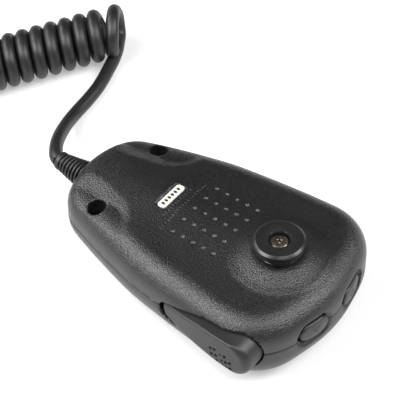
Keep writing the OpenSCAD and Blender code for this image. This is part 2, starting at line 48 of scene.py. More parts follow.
def makeCamera(s):
    turn, rise = math.radians(s["turn"]), math.radians(s["rise"])
    back = Vector((math.sin(turn) * math.cos(rise), -math.cos(turn) * math.cos(rise), math.sin(rise)))
    data = bpy.data.cameras.new("camera")
    data.lens, data.sensor_width = s["lens"], 36
    data.clip_start, data.clip_end = 0.02, 20
    camera = bpy.data.objects.new("camera", data)
    bpy.context.scene.collection.objects.link(camera)
    camera.location = (Vector(s["aim"]) + back * s["away"]) * mm
    camera.rotation_mode = "QUATERNION"
    camera.rotation_quaternion = (-back).to_track_quat("-Z", "Y")
    bpy.context.scene.camera = camera


makeCamera(viewFrom)
print("camera is in place")


# ---- small helpers ----

def addObject(name, mesh):
    piece = bpy.data.objects.new(name, mesh)
    bpy.context.scene.collection.objects.link(piece)
    return piece


def finishMesh(mesh, sharpAngle=40):
    mesh.shade_smooth()
    if sharpAngle:
        mesh.set_sharp_from_angle(angle=math.radians(sharpAngle))


def dress(piece, body, slot, material, *replaced):
    if material:
        piece.data.materials.clear()
        piece.data.materials.append(material)
    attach(piece, body)
    if replaced:
        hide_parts(*replaced)
    return piece


def smoothRoute(points, steps):
    p = [np.array(q, float) for q in points]
    p = [2 * p[0] - p[1]] + p + [2 * p[-1] - p[-2]]
    made = []
    for i in range(1, len(p) - 2):
        a, b, c, d = p[i - 1:i + 3]
        for t in np.arange(steps) / steps:
            made.append(0.5 * (2 * b + (c - a) * t + (2 * a - 5 * b + 4 * c - d) * t * t
                               + (3 * b - a - 3 * c + d) * t ** 3))
    return np.array(made + [p[-2]])


def evenly(line, spacing):
    along = np.concatenate([[0], np.cumsum(np.linalg.norm(np.diff(line, axis=0), axis=1))])
    at = np.linspace(0, along[-1], max(2, round(along[-1] / spacing) + 1))
    return np.stack([np.interp(at, along, line[:, k]) for k in range(3)], 1)


# ---- the cord ----

curlyCord = {
    "diameter": 4.6, "turnRadius": 7.0, "coilHeight": 9.3, "pointsPerTurn": 22,
    "start": [(-61, 0, 12.3), (-62.8, 0.8, 12.2), (-64.7, 2.7, 11.7), (-66.8, 5.2, 10.8),
              (-69.2, 8.6, 9.4), (-71.6, 12.6, 7.6), (-73.8, 16.8, 5.8), (-75.6, 20.8, 4.3),
              (-77, 24.8, 3.1), (-77.9, 28.8, 2.5), (-78.6, 34, 2.3), (-79.6, 40.4, 2.3),
              (-81, 45.8, 2.3), (-82.7, 50.8, 2.3), (-84.4, 55.6, 2.3), (-86.6, 60.4, 2.3),
              (-89.2, 64.6, 2.3), (-90.8, 67.1, 3.0), (-92.2, 68.5, 5.6), (-92.7, 68.7, 8.6),
              (-92.4, 67.6, 12.0), (-91.4, 65.4, 14.8), (-89.3, 62.4, 16.2), (-87.0, 59.1, 15.8),
              (-85.0, 56.5, 13.2), (-84.4, 55.5, 9.8), (-84.6, 56.0, 6.8)],
    "coilFrom": 5.25, "firstAngle": -50, "lean": 1.9, "leanTowards": 50,
    "coil": [(-87.5, 64), (-97.5, 46.5), (-107.5, 29), (-117, 12), (-127, -5.5), (-136, -21.5),
             (-148, -34), (-165, -38.5), (-182, -34.5), (-194.5, -22), (-199.5, -5), (-195, 12),
             (-191, 19)],
    "pitch": [(0, 5.5), (8, 5.4), (20, 5.25), (45, 4.9), (100, 4.9), (118, 6.0), (195, 6.0), (214, 6.0)],
    "end": [(-189.3, 19.2, 2.3), (-186.2, 20.6, 2.3), (-184.2, 25.0, 2.3), (-182.4, 31, 2.3),
            (-179.6, 37.6, 2.3), (-174.6, 43.4, 2.4), (-166.5, 46.6, 3),
            (-157.5, 45, 4.2), (-151, 39, 5.8), (-148.3, 30.5, 7.6), (-150, 22.6, 9), (-153, 17, 9.5)],
}


def cordLine(s):
    axis = evenly(smoothRoute([(x, y, s["coilHeight"]) for x, y in s["coil"]], 12), 0.25)
    heading = np.gradient(axis, axis=0)
    heading /= np.linalg.norm(heading, axis=1)[:, None]
    along = np.arange(len(axis)) * np.linalg.norm(axis[1] - axis[0])
    pitch = np.interp(along, *zip(*s["pitch"]))
    turned = np.concatenate([[0], np.cumsum(np.diff(along) / pitch[1:])])
    turned += -s["firstAngle"] / 360 - np.interp(s["coilFrom"], along, turned)
    last = math.floor(turned[-1] - 0.2) + 0.2  # leaves when it comes down to the table
    steps = np.arange(-s["firstAngle"] / 360, last, 1 / s["pointsPerTurn"])
    angle = -2 * math.pi * steps
    at = np.interp(steps, turned, along) + s["lean"] * np.cos(angle - math.radians(s["leanTowards"]))
    centre = np.stack([np.interp(at, along, axis[:, k]) for k in range(3)], 1)
    way = np.stack([np.interp(at, along, heading[:, k]) for k in range(3)], 1)
    side = np.stack([-way[:, 1], way[:, 0], 0 * at], 1)
    coil = centre + s["turnRadius"] * np.cos(angle)[:, None] * side
    coil[:, 2] += s["turnRadius"] * np.sin(angle)
    before = smoothRoute(s["start"] + [tuple(coil[0])], 6)[:-1]
    after = smoothRoute([tuple(coil[-1])] + s["end"], 6)[1:]
    return np.concatenate([before, coil, after]) * mm


def makeCurlyCord(s):
    line = cordLine(s)
    data = bpy.data.curves.new("curlyCord", "CURVE")
    data.dimensions, data.twist_mode = "3D", "MINIMUM"
    data.bevel_depth, data.bevel_resolution, data.use_fill_caps = s["diameter"] / 2 * mm, 5, True
    spline = data.splines.new("POLY")
    spline.points.add(len(line) - 1)
    spline.points.foreach_set("co", np.concatenate([line, np.ones((len(line), 1))], 1).ravel())
    spline.use_smooth = True
    length = float(np.linalg.norm(np.diff(line, axis=0), axis=1).sum())
    print("cord is %.2f m long" % length)
    return addObject("curlyCord", data)


cordPiece = makeCurlyCord(curlyCord)


# ---- textures used by more than one material ----

def groupOf(name, inputs, outputs):
    tree = bpy.data.node_groups.new(name, "ShaderNodeTree")
    for label, kind, value in inputs:
        socket = tree.interface.new_socket(label, in_out="INPUT", socket_type=kind)
        if value is not None:
            socket.default_value = value
    for label, kind in outputs:
        tree.interface.new_socket(label, in_out="OUTPUT", socket_type=kind)
    return tree, tree.nodes.new("NodeGroupInput"), tree.nodes.new("NodeGroupOutput")


def mathNode(tree, operation, *values, clamp=False):
    node = tree.nodes.new("ShaderNodeMath")
    node.operation, node.use_clamp = operation, clamp
    for socket, value in zip(node.inputs, values):
        if isinstance(value, (int, float)):
            socket.default_value = value
        else:
            tree.links.new(value, socket)
    return node.outputs[0]


def mapRange(tree, value, low, high, toLow, toHigh, smooth=False):
    node = tree.nodes.new("ShaderNodeMapRange")
    node.interpolation_type = "SMOOTHSTEP" if smooth else "LINEAR"
    tree.links.new(value, node.inputs[0])
    for socket, given in zip(node.inputs[1:5], (low, high, toLow, toHigh)):
        if isinstance(given, (int, float)):
            socket.default_value = given
        else:
            tree.links.new(given, socket)
    return node.outputs[0]


def noiseNode(tree, vector, scale, detail=2.0, rough=0.5):
    node = tree.nodes.new("ShaderNodeTexNoise")
    tree.links.new(vector, node.inputs["Vector"])
    if isinstance(scale, (int, float)):
        node.inputs["Scale"].default_value = scale
    else:
        tree.links.new(scale, node.inputs["Scale"])
    node.inputs["Detail"].default_value, node.inputs["Roughness"].default_value = detail, rough
    return node.outputs["Fac"]


def mixColor(tree, factor, a, b):
    node = tree.nodes.new("ShaderNodeMix")
    node.data_type = "RGBA"
    for socket, value in zip((node.inputs["Factor"], node.inputs[6], node.inputs[7]), (factor, a, b)):
        if isinstance(value, tuple):
            socket.default_value = (*value, 1)
        elif isinstance(value, (int, float)):
            socket.default_value = value
        else:
            tree.links.new(value, socket)
    return node.outputs[2]


def leatherGrain():  # moulded-in grain: small round pebbles with finer noise between them
    tree, given, put = groupOf("leatherGrain", [("Vector", "NodeSocketVector", None),
                               ("Scale", "NodeSocketFloat", 1500.0)],
                               [("Height", "NodeSocketFloat"), ("Pits", "NodeSocketFloat")])
    pebble = tree.nodes.new("ShaderNodeTexVoronoi")
    pebble.feature = "SMOOTH_F1"
    pebble.inputs["Smoothness"].default_value = 0.5
    tree.links.new(given.outputs["Vector"], pebble.inputs["Vector"])
    tree.links.new(given.outputs["Scale"], pebble.inputs["Scale"])
    finer = mathNode(tree, "MULTIPLY", given.outputs["Scale"], 1.7)
    fine = noiseNode(tree, given.outputs["Vector"], finer, 2)
    height = mathNode(tree, "ADD", mathNode(tree, "MULTIPLY", pebble.outputs["Distance"], -0.8),
                      mathNode(tree, "MULTIPLY", fine, 0.55))
    tree.links.new(height, put.inputs["Height"])
    # the valleys between pebbles, used to paint shade into the grain
    tree.links.new(mapRange(tree, pebble.outputs["Distance"], 0.35, 0.75, 0, 1), put.inputs["Pits"])
    return tree


def handledSurface():  # broad patches of dust and handling that change gloss and colour a little
    tree, given, put = groupOf("handledSurface", [("Vector", "NodeSocketVector", None),
                               ("Scale", "NodeSocketFloat", 60.0)],
                               [("Patches", "NodeSocketFloat"), ("Dust", "NodeSocketFloat")])
    patches = noiseNode(tree, given.outputs["Vector"], given.outputs["Scale"], 4, 0.6)
    tree.links.new(patches, put.inputs["Patches"])
    finer = mathNode(tree, "MULTIPLY", given.outputs["Scale"], 23)
    speck = noiseNode(tree, given.outputs["Vector"], finer, 3, 0.7)
    tree.links.new(mapRange(tree, speck, 0.66, 0.78, 0, 1), put.inputs["Dust"])
    return tree


grainGroup, handledGroup = leatherGrain(), handledSurface()


def placeGroup(tree, group, vector, **values):
    node = tree.nodes.new("ShaderNodeGroup")
    node.node_tree = group
    tree.links.new(vector, node.inputs["Vector"])
    for label, value in values.items():
        node.inputs[label].default_value = value
    return node


def startMaterial(name, metallic=0.0, ior=1.5, coat=0.0, specular=0.5):
    material = bpy.data.materials.new(name)
    material.use_nodes = True
    tree = material.node_tree
    shader = tree.nodes["Principled BSDF"]
    shader.inputs["Metallic"].default_value = metallic
    shader.inputs["IOR"].default_value = ior
    shader.inputs["Coat Weight"].default_value = coat
    shader.inputs["Specular IOR Level"].default_value = specular
    place = tree.nodes.new("ShaderNodeTexCoord").outputs["Object"]
    return material, tree, shader, place


def bump(tree, height, strength, distance, shader=None, after=None):
    node = tree.nodes.new("ShaderNodeBump")
    node.inputs["Strength"].default_value = strength
    node.inputs["Distance"].default_value = distance
    tree.links.new(height, node.inputs["Height"])
    if after is not None:
        tree.links.new(after, node.inputs["Normal"])
    if shader:
        tree.links.new(node.outputs[0], shader.inputs["Normal"])
    return node.outputs[0]


def shellMaterial(s):  # grained on the back and its blends, finer and smoother down the sides
    material, tree, shader, place = startMaterial("shellPlastic", specular=s["specular"])
    split = tree.nodes.new("ShaderNodeSeparateXYZ")
    tree.links.new(place, split.inputs[0])
    slope = mathNode(tree, "MULTIPLY", split.outputs["X"], s["fadeSlope"])
    height = mathNode(tree, "SUBTRACT", split.outputs["Z"], slope)
    grained = mapRange(tree, height, s["grainFrom"] * mm, s["grainFull"] * mm, 0, 1, True)
    grain = placeGroup(tree, grainGroup, place, Scale=s["grainScale"])
    handled = placeGroup(tree, handledGroup, place, Scale=45.0)
    fine = noiseNode(tree, place, 2600, 3, 0.6)
    rough = mathNode(tree, "ADD", mapRange(tree, grained, 0, 1, s["sideRough"], s["backRough"]),
                     mapRange(tree, handled.outputs["Patches"], 0.3, 0.7, -0.03, 0.04))
    tree.links.new(rough, shader.inputs["Roughness"])
    # painted shade: the valleys between the grain pebbles are coloured darker than the plastic
    valleyShade = mathNode(tree, "MULTIPLY", grain.outputs["Pits"], grained)
    colour = mixColor(tree, valleyShade, s["colour"], s["valleyShadeColour"])
    dusted = mathNode(tree, "MULTIPLY", handled.outputs["Dust"], 0.10)
    tree.links.new(mixColor(tree, dusted, colour, (0.16, 0.16, 0.16)), shader.inputs["Base Color"])
    tall = mathNode(tree, "ADD", mathNode(tree, "MULTIPLY", grain.outputs["Height"], grained),
                    mathNode(tree, "MULTIPLY", fine, 0.05))
    bump(tree, tall, s["bump"], s["bumpDepth"] * mm, shader)
    return material


def mouldedMaterial(name, colour, rough, texture=0.04, specular=0.5, scale=2200.0, coat=0.0):
    material, tree, shader, place = startMaterial(name, coat=coat, specular=specular)
    handled = placeGroup(tree, handledGroup, place, Scale=90.0)
    grain = placeGroup(tree, grainGroup, place, Scale=scale)
    lighter = tuple(min(1, c * 1.35 + 0.004) for c in colour)
    worn = mapRange(tree, handled.outputs["Patches"], 0.3, 0.75, 0, 0.7)
    tree.links.new(mixColor(tree, worn, colour, lighter), shader.inputs["Base Color"])
    tree.links.new(mapRange(tree, handled.outputs["Patches"], 0.3, 0.7, rough - 0.04, rough + 0.05),
                   shader.inputs["Roughness"])
    bump(tree, grain.outputs["Height"], texture, 0.08 * mm, shader)
    return material


def metalMaterial(name, colour, rough, brush=0.2, scale=(60, 60, 1500)):
    material, tree, shader, place = startMaterial(name, metallic=1.0)
    stretch = tree.nodes.new("ShaderNodeMapping")
    stretch.inputs["Scale"].default_value = scale
    tree.links.new(place, stretch.inputs["Vector"])
    lines = noiseNode(tree, stretch.outputs[0], 12, 3, 0.6)
    handled = placeGroup(tree, handledGroup, place, Scale=260.0)
    darker = tuple(c * 0.72 for c in colour)
    worn = mapRange(tree, handled.outputs["Patches"], 0.35, 0.7, 0, 1)
    tree.links.new(mixColor(tree, worn, colour, darker), shader.inputs["Base Color"])
    tree.links.new(mapRange(tree, lines, 0.3, 0.7, rough - 0.05, rough + 0.08), shader.inputs["Roughness"])
    bump(tree, lines, brush, 0.02 * mm, shader)
    return material


# the second colour is painted shade for the valleys of the grain
shellLook = {"colour": (0.009, 0.0092, 0.0096), "valleyShadeColour": (0.003, 0.003, 0.0035), "specular": 0.6,
             "sideRough": 0.36, "backRough": 0.33, "grainFrom": 17.2, "grainFull": 21.0, "fadeSlope": 0.03,
             "grainScale": 2500.0, "bump": 1.0, "bumpDepth": 0.15}
materials = {
    "shell": shellMaterial(shellLook),
    "button": mouldedMaterial("buttonPlastic", (0.007, 0.007, 0.0072), 0.34, 0.05),
    "lever": mouldedMaterial("leverPlastic", (0.010, 0.0103, 0.011), 0.46, 0.10, scale=2400),
    "key": mouldedMaterial("keyPlastic", (0.014, 0.0143, 0.015), 0.4, 0.08),
    "mark": mouldedMaterial("keyMarkPaint", (0.008, 0.008, 0.008), 0.5),
    "label": mouldedMaterial("labelFilm", (0.47, 0.46, 0.41), 0.42, 0.03),
    "print": mouldedMaterial("labelPrint", (0.02, 0.02, 0.02), 0.45, 0.03),
    "rubber": mouldedMaterial("cordRubber", (0.0062, 0.0062, 0.0064), 0.46, 0.06, scale=1400),
    "bootRubber": mouldedMaterial("bootRubber", (0.0065, 0.0065, 0.0067), 0.42, 0.08, scale=1600),
    "switch": mouldedMaterial("switchPlastic", (0.03, 0.03, 0.03), 0.35),
    "stem": mouldedMaterial("stemPlastic", (0.72, 0.7, 0.65), 0.4),
    "chip": mouldedMaterial("chipResin", (0.02, 0.02, 0.021), 0.55, 0.12),
    "capacitor": mouldedMaterial("capacitorSleeve", (0.03, 0.06, 0.25), 0.25),
    "header": mouldedMaterial("headerPlastic", (0.75, 0.71, 0.6), 0.45),
    "wire": mouldedMaterial("wireInsulation", (0.42, 0.07, 0.05), 0.35),
    "insulator": mouldedMaterial("plugResin", (0.09, 0.045, 0.02), 0.4, 0.1),
    "steel": metalMaterial("platedSteel", (0.58, 0.58, 0.59), 0.3),
    # steel darkened to paint the shade at the bottom of the deep cover-screw pockets
    "pocketShadeSteel": metalMaterial("steelDarkenedForPocketShade", (0.06, 0.06, 0.062), 0.3),
    "bronze": metalMaterial("bronzePlating", (0.34, 0.29, 0.24), 0.3, 0.1),
    "brass": metalMaterial("turnedBrass", (0.7, 0.52, 0.22), 0.28),
    "nickel": metalMaterial("satinNickel", (0.66, 0.66, 0.66), 0.24, 0.15),
    "can": metalMaterial("capsuleCan", (0.7, 0.7, 0.7), 0.32),
}


def boardMaterial():  # solder mask with copper tracks showing through
    material, tree, shader, place = startMaterial("boardMask", coat=0.3)
    tracks = tree.nodes.new("ShaderNodeTexBrick")
    tracks.inputs["Scale"].default_value = 260
    tracks.inputs["Mortar Size"].default_value = 0.03
    tree.links.new(place, tracks.inputs["Vector"])
    tree.links.new(mixColor(tree, tracks.outputs["Fac"], (0.02, 0.13, 0.05), (0.05, 0.24, 0.1)),
                   shader.inputs["Base Color"])
    rough = mapRange(tree, noiseNode(tree, place, 300), 0.3, 0.7, 0.28, 0.4)
    tree.links.new(rough, shader.inputs["Roughness"])
    bump(tree, tracks.outputs["Fac"], 0.3, 0.04 * mm, shader)
    return material


def clothMaterial():  # plain weave over the capsule
    material, tree, shader, place = startMaterial("capsuleCloth")
    waves = []
    for direction in ("X", "Y"):
        wave = tree.nodes.new("ShaderNodeTexWave")
        wave.bands_direction = direction
        wave.inputs["Scale"].default_value = 900
        tree.links.new(place, wave.inputs["Vector"])
        waves.append(wave.outputs["Fac"])
    weave = mathNode(tree, "MAXIMUM", *waves)
    colour = mixColor(tree, weave, (0.012, 0.012, 0.012), (0.06, 0.06, 0.06))
    tree.links.new(colour, shader.inputs["Base Color"])
    tree.links.new(mapRange(tree, weave, 0, 1, 0.8, 0.95), shader.inputs["Roughness"])
    bump(tree, weave, 0.6, 0.1 * mm, shader)
    return material


materials["board"], materials["cloth"] = boardMaterial(), clothMaterial()
print("materials are made")

cordPiece.data.materials.append(materials["rubber"])
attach(cordPiece, "housing")
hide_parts("cord_lead", "cord_coil", "cord_tail")


# ---- floor, backdrop and lights ----

studio = {
    "world": 0.07, "floorGlow": 0.38, "floorColour": 0.5,
    "lights": [  # name, where (degrees round, degrees up, metres away), size, watts
        ("frontLeftSoftbox", -36, 40, 0.8, (0.42, 0.36), 6.6),
        ("frontHighSoftbox", -28, 60, 0.8, (0.3, 0.24), 2.2),
        ("leftSoftbox", -84, 32, 0.8, (0.34, 0.26), 2.8),
        ("overheadSoftbox", 62, 64, 0.8, (0.4, 0.36), 3.4),
        ("backRightSoftbox", 124, 44, 0.8, (0.34, 0.34), 5.8),
    ],
}


def makeStudio(s):
    floor = addObject("floor", bpy.data.meshes.new("floor"))
    corners = [(-4, -4), (4, -4), (4, 4), (-4, 4)]
    floor.data.from_pydata([(x, y, -0.00005) for x, y in corners], [], [(0, 1, 2, 3)])
    material, _, shader, _ = startMaterial("paleFloor")
    shader.inputs["Base Color"].default_value = (*[s["floorColour"]] * 3, 1)
    shader.inputs["Roughness"].default_value = 0.9
    shader.inputs["Emission Color"].default_value = (1, 1, 1, 1)
    shader.inputs["Emission Strength"].default_value = s["floorGlow"]
    floor.data.materials.append(material)
    world = bpy.data.worlds.new("studio")
    world.use_nodes = True
    world.node_tree.nodes["Background"].inputs[0].default_value = (1, 1, 1, 1)
    world.node_tree.nodes["Background"].inputs[1].default_value = s["world"]
    bpy.context.scene.world = world
    for name, turn, rise, away, size, watts in s["lights"]:
        data = bpy.data.lights.new(name, "AREA")
        data.shape, data.size, data.size_y, data.energy = "RECTANGLE", *size, watts
        light = bpy.data.objects.new(name, data)
        bpy.context.scene.collection.objects.link(light)
        turn, rise = math.radians(turn), math.radians(rise)
        way = Vector((math.sin(turn) * math.cos(rise), -math.cos(turn) * math.cos(rise), math.sin(rise)))
        light.location = way * away + Vector((0, 0, 0.01))
        light.rotation_euler = way.to_track_quat("Z", "Y").to_euler()
    bpy.context.scene.view_settings.view_transform = "Standard"


makeStudio(studio)
print("studio is lit")


# ---- moulded shapes: signed distance fields turned into meshes, in millimetres ----

def roundBoth(a, b, r):  # inside both, with a rounded edge
    p, q = a + r, b + r
    return np.minimum(np.maximum(p, q), 0) + np.hypot(np.maximum(p, 0), np.maximum(q, 0)) - r


def roundEither(a, b, r):  # inside either, with a fillet
    return -roundBoth(-a, -b, r)


def carve(a, b, r):  # a without b, with a rounded rim
    return roundBoth(a, -b, r)


def anyOf(*shapes):
    return reduce(np.minimum, shapes)


def allOf(*shapes):
    return reduce(np.maximum, shapes)


class ConvexOutline:
    def __init__(self, discs, soften=0, step=1.5):
        self.angles = np.radians(np.arange(0, 360, step))
        reach = np.max([x * np.cos(self.angles) + y * np.sin(self.angles) + r for x, y, r in discs], axis=0)
        if soften:
            n = int(soften / step)
            weights = np.hanning(2 * n + 3)[1:-1]
            reach = sum(w * np.roll(reach, k - n) for k, w in enumerate(weights)) / weights.sum()
        self.reach = reach

    def __call__(self, x, y):
        out = None
        for angle, reach in zip(self.angles, self.reach):
            d = x * math.cos(angle) + y * math.sin(angle) - reach
            out = d if out is None else np.maximum(out, d)
        return out


def meshField(name, field, low, high, step, zones=(), settle=3):
    axes = [np.arange(a, b + step, step) for a, b in zip(low, high)]
    value = np.broadcast_to(field(*np.meshgrid(*axes, indexing="ij", sparse=True)), [len(a) for a in axes])
    inside = value < 0
    shape = tuple(n - 1 for n in value.shape)
    total, count = np.zeros(shape + (3,)), np.zeros(shape)
    for axis in range(3):
        first = [slice(None)] * 3
        second = [slice(None)] * 3
        first[axis], second[axis] = slice(None, -1), slice(1, None)
        a, b = value[tuple(first)], value[tuple(second)]
        crossed = inside[tuple(first)] != inside[tuple(second)]
        share = np.where(crossed, a / np.where(crossed, a - b, 1), 0)
        others = [k for k in range(3) if k != axis]
        for i in (0, 1):
            for j in (0, 1):
                cut = [slice(None)] * 3
                for k, offset in zip(others, (i, j)):
                    cut[k] = slice(offset, offset + shape[k])
                hit, part = crossed[tuple(cut)], share[tuple(cut)]
                count += hit
                total[..., axis] += part
                total[..., others[0]] += hit * i
                total[..., others[1]] += hit * j
    used = count > 0
    index = np.full(shape, -1)
    index[used] = np.arange(used.sum())
    points = (np.argwhere(used) + total[used] / count[used][:, None]) * step + np.array(low)
    quads = []
    for axis in range(3):
        u, v = (axis + 1) % 3, (axis + 2) % 3
        first, second = [slice(1, -1)] * 3, [slice(1, -1)] * 3
        first[axis], second[axis] = slice(0, -1), slice(1, None)
        a, b = inside[tuple(first)], inside[tuple(second)]
        for mask, flip in ((a & ~b, False), (~a & b, True)):
            at = np.argwhere(mask)
            at[:, u] += 1
            at[:, v] += 1
            ring = []
            for du, dv in ((1, 1), (0, 1), (0, 0), (1, 0)):
                cell = at.copy()
                cell[:, u] -= du
                cell[:, v] -= dv
                ring.append(index[cell[:, 0], cell[:, 1], cell[:, 2]])
            quads.append(np.stack(ring[::-1] if flip else ring, 1))
    quads = np.concatenate(quads)
    points = settlePoints(points, field, step * 0.45, settle)
    mesh = bpy.data.meshes.new(name)
    mesh.from_pydata(points, [], quads.tolist())
    for inZone, cuts in zones:
        shaped = bmesh.new()
        shaped.from_mesh(mesh)
        edges = [e for e in shaped.edges if all(inZone(*v.co) for v in e.verts)]
        bmesh.ops.subdivide_edges(shaped, edges=edges, cuts=cuts, use_grid_fill=True)
        shaped.to_mesh(mesh)
        shaped.free()
        points = np.zeros(len(mesh.vertices) * 3)
        mesh.vertices.foreach_get("co", points)
        points = points.reshape(-1, 3)
        near = np.array([bool(inZone(*p)) for p in points])
        points[near] = settlePoints(points[near], field, step * 0.3, settle + 2)
        mesh.vertices.foreach_set("co", points.ravel())
    points = np.zeros(len(mesh.vertices) * 3)
    mesh.vertices.foreach_get("co", points)
    mesh.vertices.foreach_set("co", points * mm)
    mesh.update()
    return mesh


def settlePoints(points, field, most, rounds):
    for _ in range(rounds):
        x, y, z = points.T
        h = 0.02
        here = field(x, y, z)
        slope = np.stack([field(x + h, y, z) - field(x - h, y, z), field(x, y + h, z) - field(x, y - h, z),
                          field(x, y, z + h) - field(x, y, z - h)], 1) / (2 * h)
        move = -here[:, None] * slope / np.maximum((slope ** 2).sum(1), 0.25)[:, None]
        size = np.linalg.norm(move, axis=1)[:, None]
        points = points + move * np.minimum(1, most / np.maximum(size, 1e-9))
    return points


# ---- the two covers ----

covers = {
    "length": 97.5, "width": 63.4, "noseWidth": 41.0, "waistWidth": 55.8, "backHeight": 26.0,
    "backSlope": 1.3, "crown": 1.2, "topBlend": 8.0, "baseBlend": 12.0, "joint": 13.8, "jointSlope": 1.8,
    "wall": 2.2, "jointGap": 0.07, "jointEdge": 0.28,
    "screwX": -31.75, "screwY": 15.5, "pocketRadius": 2.95, "seat": 15.2, "towerRadius": 4.6,
    "buttonX": 26.95, "moundTop": 8.2, "moundHeight": 1.7, "labelX": -14.45, "crownWidth": 11,
    "glandRadius": 4.4, "glandHeight": 12.3, "step": 0.5,
}
half = covers["length"] / 2
slopeOf = math.tan(math.radians(covers["backSlope"]))
jointTilt = math.radians(covers["jointSlope"])


def coverDiscs(s):
    discs = []
    for side in (-1, 1):
        discs.append((-half + 17, side * (s["noseWidth"] / 2 - 15), 15))
        discs.append((-6, side * (s["waistWidth"] / 2 - 20), 20))
        discs.append((half - 20.8, side * (s["width"] / 2 - 18.5), 18.5))
    for a in np.radians(np.arange(-12, 13, 3)):
        discs.append((half - 45 + 32 * math.cos(a), 32 * math.sin(a), 13))
    for a in np.radians(np.arange(-24, 25, 6)):
        discs.append((-half + 30 - 17 * math.cos(a), 17 * math.sin(a), 13))
    return discs


coverPlan = ConvexOutline(coverDiscs(covers), soften=4)


def backHeight(x, y):
    s = covers
    along = np.clip(x, -half + 18, half - 20)
    off = np.hypot(x - along, y)
    return s["backHeight"] + x * slopeOf - s["crown"] * (1 - np.exp(-(off / s["crownWidth"]) ** 2))


def crownDrop(y):
    return covers["crown"] * (1 - math.exp(-(y / covers["crownWidth"]) ** 2))


def glandHole(x, y, z):
    return np.maximum(np.hypot(y, z - covers["glandHeight"]) - covers["glandRadius"], x + 40)


def overJoint(x, z):
    return z * math.cos(jointTilt) - x * math.sin(jointTilt) - covers["joint"]


def coverBody(x, y, z, inset=0.0, plan=None):
    s = covers
    side = (coverPlan(x, y) if plan is None else plan) + inset
    top = roundBoth(side, z - backHeight(x, y) + inset, s["topBlend"] - inset)
    return np.maximum(top, roundBoth(side, inset - z, s["baseBlend"] - inset))


leverSide = ConvexOutline([(7.4, 13.6, 3.1), (34.3, 15.7, 6), (34.3, 14.8, 6), (22.3, 15.25, 5.5)], step=2)


def leverWindow(x, y, z, gap):
    return np.maximum(leverSide(x, z) - gap, y + 23)


def obround(u, v, length, height):
    return np.hypot(np.maximum(np.abs(u) - (length - height) / 2, 0), v) - height / 2


keyPlaces = {"side": 9.6, "height": 15.7, "length": 10.8, "tall": 6.4, "gap": 0.35, "margin": 1.8,
             "scoop": 1.1, "capRadius": 45.0}


def keyHoles(x, y, z):
    s = keyPlaces
    u, v = np.abs(y) - s["side"], z - s["height"]
    cap = np.hypot(x - half + s["capRadius"], y) - s["capRadius"]
    well = obround(u, v, s["length"] + 2 * s["gap"], s["tall"] + 2 * s["gap"])
    # the scooped rim deepens towards the key
    rim = obround(u, v, s["length"] + 2 * s["margin"], s["tall"] + 2 * s["margin"])
    scoop = roundBoth(rim, -(cap + s["scoop"] * np.clip(-rim / 1.1, 0, 1)), 0.2)
    return well, scoop


def scallops(x, y):  # a sloping ledge beside each screw, open to the side
    ax, ay = -42.0, 19.4
    bx, by = -27.5, 20.4
    px, py = x - ax, np.abs(y) - ay
    t = np.clip((px * (bx - ax) + py * (by - ay)) / ((bx - ax) ** 2 + (by - ay) ** 2), 0, 1)
    return np.hypot(px - t * (bx - ax), py - t * (by - ay)) - 8.7


def ledgeDepth(x):
    return 1.7 * np.clip(1 - (x + 37) / 17.0, 0, 1)


dimpleSpots = [(-5.15 + 3.9 * i, 5.6 * (j - 2)) for i in range(5) for j in range(5)]


def dimples(x, y, z):
    top = backHeight(x, y)
    u = (x + 5.15) / 3.9
    i = np.clip(np.round(u), 0, 4)
    j = np.clip(np.round(y / 5.6), -2, 2)
    off = np.hypot(x - (-5.15 + 3.9 * i), y - 5.6 * j)
    return off * 0.85 + (top - z) - 0.62  # a small cone


def labelPocket(x, y, z):
    u, v = np.abs(x - covers["labelX"] + 0.12) - 1.5, np.abs(y) - 5.0
    flat = np.hypot(np.maximum(u, 0), np.maximum(v, 0)) + np.minimum(np.maximum(u, v), 0) - 0.62
    return np.maximum(flat, backHeight(x, y) - 0.45 - z)


def backCoverField(x, y, z):
    s = covers
    plan = coverPlan(x, y)
    outer = coverBody(x, y, z, 0, plan)
    inner = coverBody(x, y, z, s["wall"], plan)
    top = backHeight(x, y)
    ledge = top - ledgeDepth(x)
    slope = scallops(x, y)
    scoop = roundBoth(slope - np.clip((z - ledge) * 1.7, 0, 9), ledge - z, 1.6)
    mound = np.hypot(x - s["buttonX"], y)
    over = z - (s["backHeight"] + x * slopeOf)
    flare = np.clip(s["moundHeight"] - over, 0, 2.4) * 2.6
    cone = roundBoth((mound - s["moundTop"] - flare) * 0.35, over - s["moundHeight"], 0.4)
    outer = roundEither(outer, cone, 0.8)
    outer = carve(outer, scoop, 2.3)
    screw = np.hypot(x - s["screwX"], np.abs(y) - s["screwY"])
    solid = np.maximum(outer, -inner)
    tower = np.minimum(screw - s["towerRadius"], mound - 5 + 0 * z)
    tower = np.maximum(tower, np.where(mound < 9, 17.5 - z, -1))
    floorUnder = np.maximum(slope - 2, ledge - 2.2 - z)
    solid = np.minimum(solid, np.maximum(np.minimum(tower, floorUnder), outer))
    solid = roundBoth(solid, s["jointGap"] - overJoint(x, z), s["jointEdge"])
    solid = carve(solid, np.maximum(screw - s["pocketRadius"], s["seat"] - z), 0.35)
    solid = carve(solid, np.where(screw < 8, screw, mound) - 1.6, 0.1)
    solid = carve(solid, leverWindow(x, y, z, 0.5), 0.3)
    well, rim = keyHoles(x, y, z)
    near = x - 30
    solid = np.where(near > 0, carve(carve(solid, rim, 0.3), well, 0.2), solid)
    solid = carve(solid, glandHole(x, y, z), 0.2)
    solid = np.maximum(solid, -dimples(x, y, z))
    return np.maximum(solid, -labelPocket(x, y, z))


